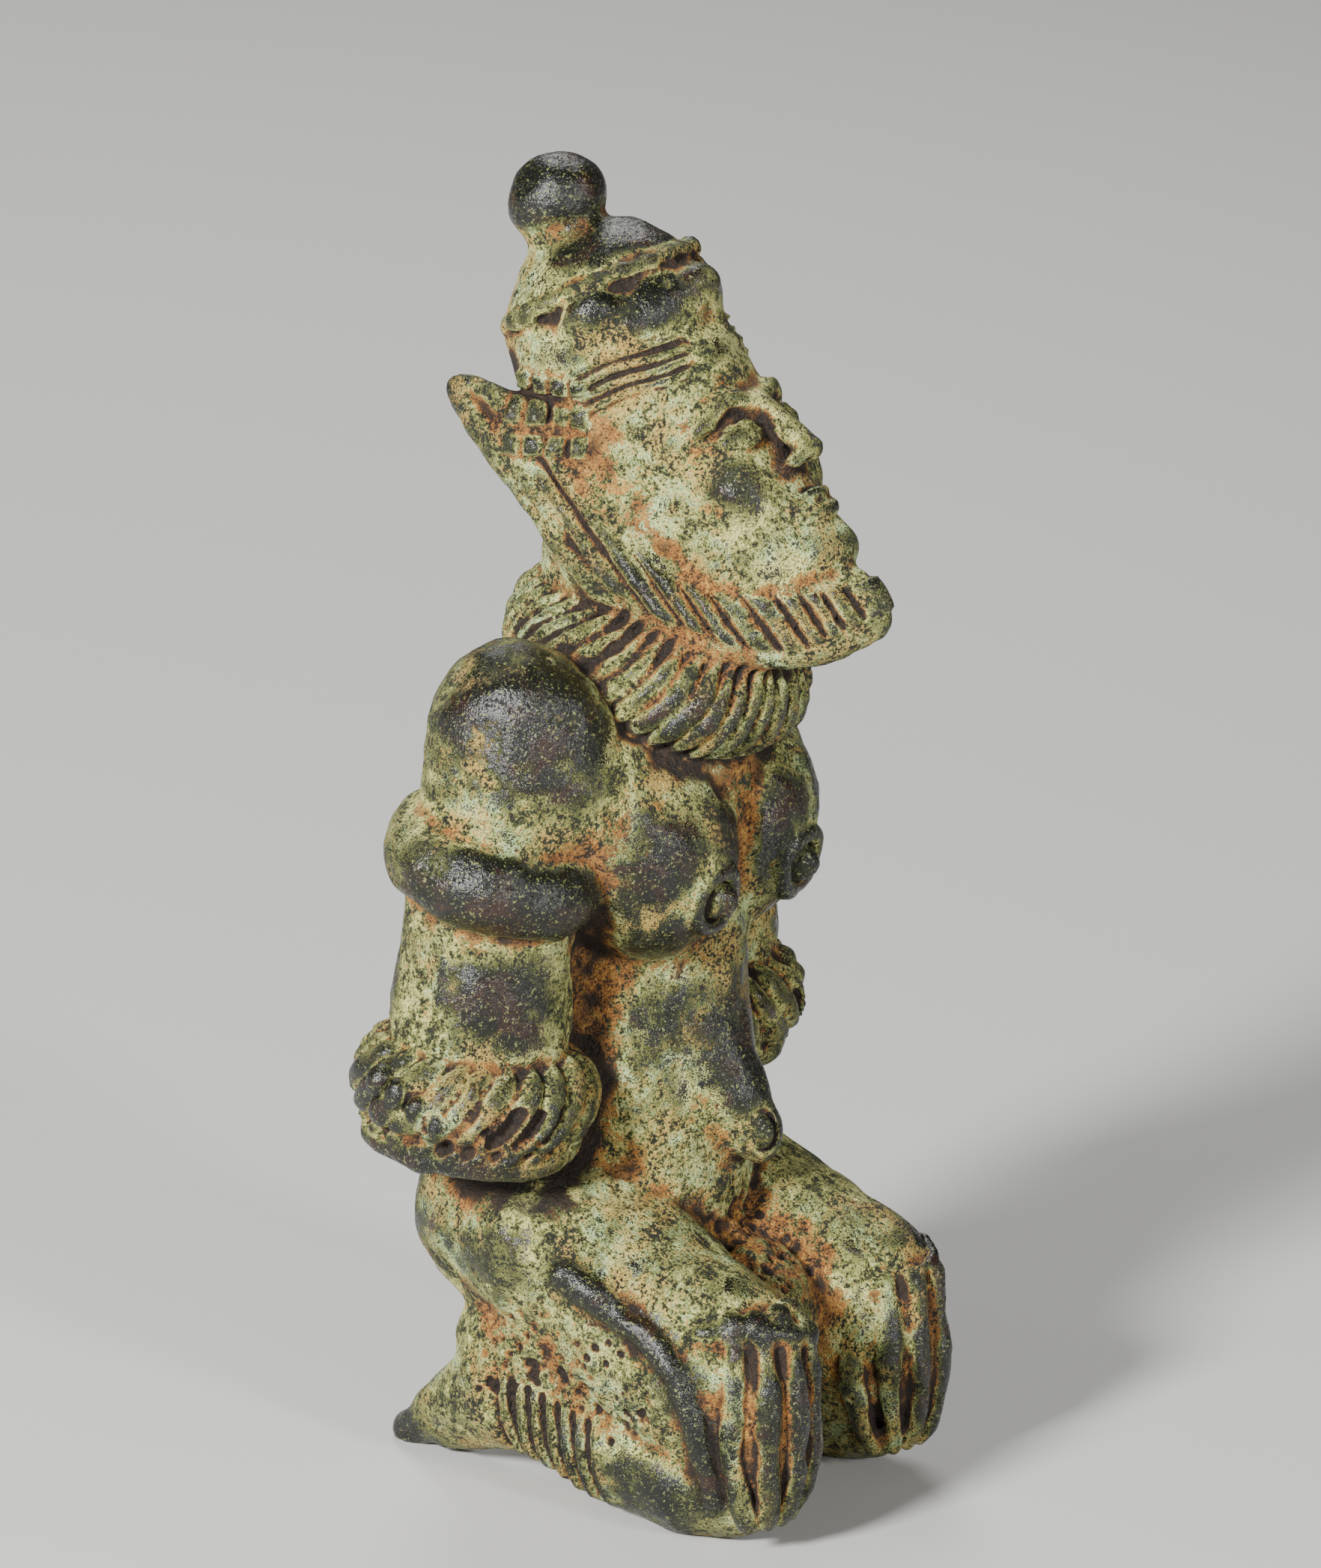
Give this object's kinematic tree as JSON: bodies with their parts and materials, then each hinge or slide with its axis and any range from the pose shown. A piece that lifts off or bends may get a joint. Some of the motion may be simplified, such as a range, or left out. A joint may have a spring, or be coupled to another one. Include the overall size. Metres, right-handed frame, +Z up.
{
  "type": "kneeling bronze figure",
  "caption": "Small kneeling figure cast in one piece, hands on knees, head thrust up, with knobbed cap, jaw beard, ribbed collar, armlets and plaited cuffs.",
  "frame": {"origin": "middle of the bounding box at the height of the flats under the knees and toes", "axes": "+Z up, the figure faces -Y, its left side is +X"},
  "size_m": [0.0618, 0.0482, 0.1199],
  "materials": {
    "bronze": "corroded bronze, pale green patina with dark worn high points and rust brown in the recesses"
  },
  "bodies": {
    "root": {"kneeling_figure": "bronze"}
  },
  "joints": []
}
